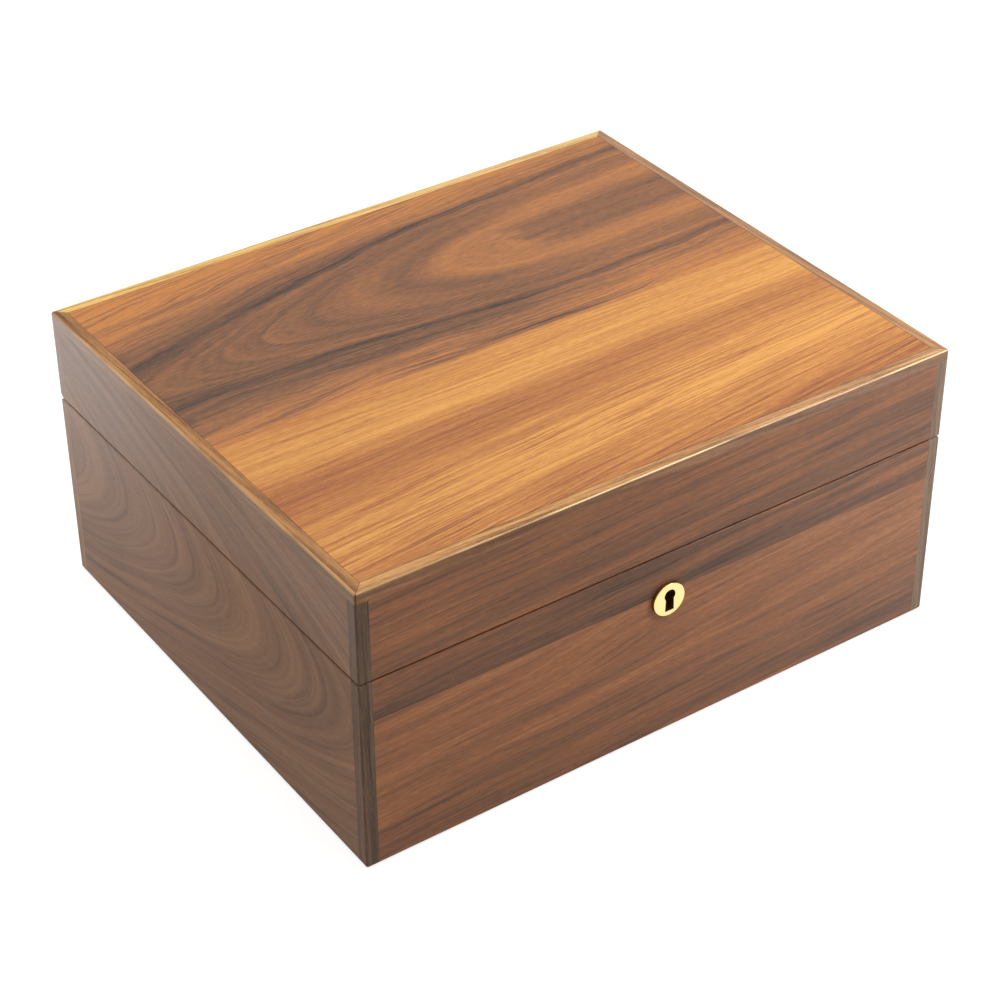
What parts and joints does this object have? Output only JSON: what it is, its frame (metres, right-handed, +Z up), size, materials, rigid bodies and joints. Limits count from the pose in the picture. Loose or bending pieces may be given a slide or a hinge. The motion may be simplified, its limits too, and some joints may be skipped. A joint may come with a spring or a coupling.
{
  "type": "watch box",
  "caption": "Rectangular walnut-veneered watch box with a hinged lid, a box lock behind a round keyhole escutcheon, and a lift-out tray of watch cushions over a storage space.",
  "frame": {"origin": "middle of the underside, on the surface that the box stands on", "axes": "+X to the right along the width, +Y towards the hinged back, +Z up; the keyhole front faces -Y"},
  "size_m": [0.3, 0.2544, 0.14],
  "materials": {
    "top_veneer": "satin lacquered walnut veneer, golden and dark figure",
    "wall_veneer": "satin lacquered walnut veneer, red-brown",
    "edge_lipping": "satin lacquered solid walnut with pale sapwood",
    "corner_lipping": "satin lacquered solid walnut, dark",
    "bottom_board": "plain board",
    "felt": "pressed felt",
    "lining": "microfibre suede on card",
    "lid_padding": "microfibre suede over foam",
    "tray_cover": "microfibre suede on board",
    "cushion": "microfibre suede, stuffed",
    "brass": "satin brass",
    "escutcheon_brass": "polished, pale gold",
    "screw_brass": "turned brass",
    "steel": "drawn steel"
  },
  "bodies": {
    "base": {"base_front_panel": "wall_veneer", "base_lining_front": "lining", "base_back_panel": "wall_veneer", "base_lining_back": "lining", "base_left_panel": "wall_veneer", "base_lining_left": "lining", "base_right_panel": "wall_veneer", "base_lining_right": "lining", "base_corner_front_left": "corner_lipping", "base_corner_front_right": "corner_lipping", "base_corner_back_left": "corner_lipping", "base_corner_back_right": "corner_lipping", "base_bottom_panel": "bottom_board", "base_felt": "felt", "base_lining_floor": "lining", "tray_ledges": "lining", "hinge_left_base_leaf": "brass", "hinge_left_pin": "steel", "hinge_right_base_leaf": "brass", "hinge_right_pin": "steel", "hinge_base_screws": "screw_brass", "escutcheon": "escutcheon_brass", "lock_case": "brass", "lock_cover": "brass", "lock_bolt_spring": "steel", "lock_key_post": "steel", "lock_screws": "screw_brass"},
    "lid": {"lid_front_panel": "wall_veneer", "lid_lining_front": "lining", "lid_edge_front": "edge_lipping", "lid_back_panel": "wall_veneer", "lid_lining_back": "lining", "lid_edge_back": "edge_lipping", "lid_left_panel": "wall_veneer", "lid_lining_left": "lining", "lid_edge_left": "edge_lipping", "lid_right_panel": "wall_veneer", "lid_lining_right": "lining", "lid_edge_right": "edge_lipping", "lid_corner_front_left": "corner_lipping", "lid_corner_front_right": "corner_lipping", "lid_corner_back_left": "corner_lipping", "lid_corner_back_right": "corner_lipping", "lid_top_panel": "top_veneer", "lid_pad": "lid_padding", "hinge_left_lid_leaf": "brass", "hinge_right_lid_leaf": "brass", "hinge_lid_screws": "screw_brass", "link_plate": "brass", "link_plate_screws": "screw_brass"},
    "lock_bolt": {"lock_bolt": "brass"},
    "tray": {"tray_floor": "tray_cover", "tray_long_walls": "tray_cover", "tray_end_walls": "tray_cover", "tray_long_dividers": "tray_cover", "tray_cross_dividers": "tray_cover", "watch_cushions_row_1": "cushion", "watch_cushions_row_2": "cushion", "watch_cushions_row_3": "cushion"}
  },
  "joints": [
    {"name": "lid_hinge", "type": "hinge", "parent": "base", "child": "lid", "pos_m": [0, 0.1247, 0.09545], "axis": [-1, 0, 0], "range_deg": [0, 95]},
    {"name": "bolt_slide", "type": "slide", "parent": "base", "child": "lock_bolt", "axis": [1, 0, 0], "range_m": [0, 0.0045], "deforming": ["lock_bolt_spring"]},
    {"name": "tray_lift", "type": "slide", "parent": "base", "child": "tray", "axis": [0, 0, 1], "range_m": [0, 0.035]}
  ]
}
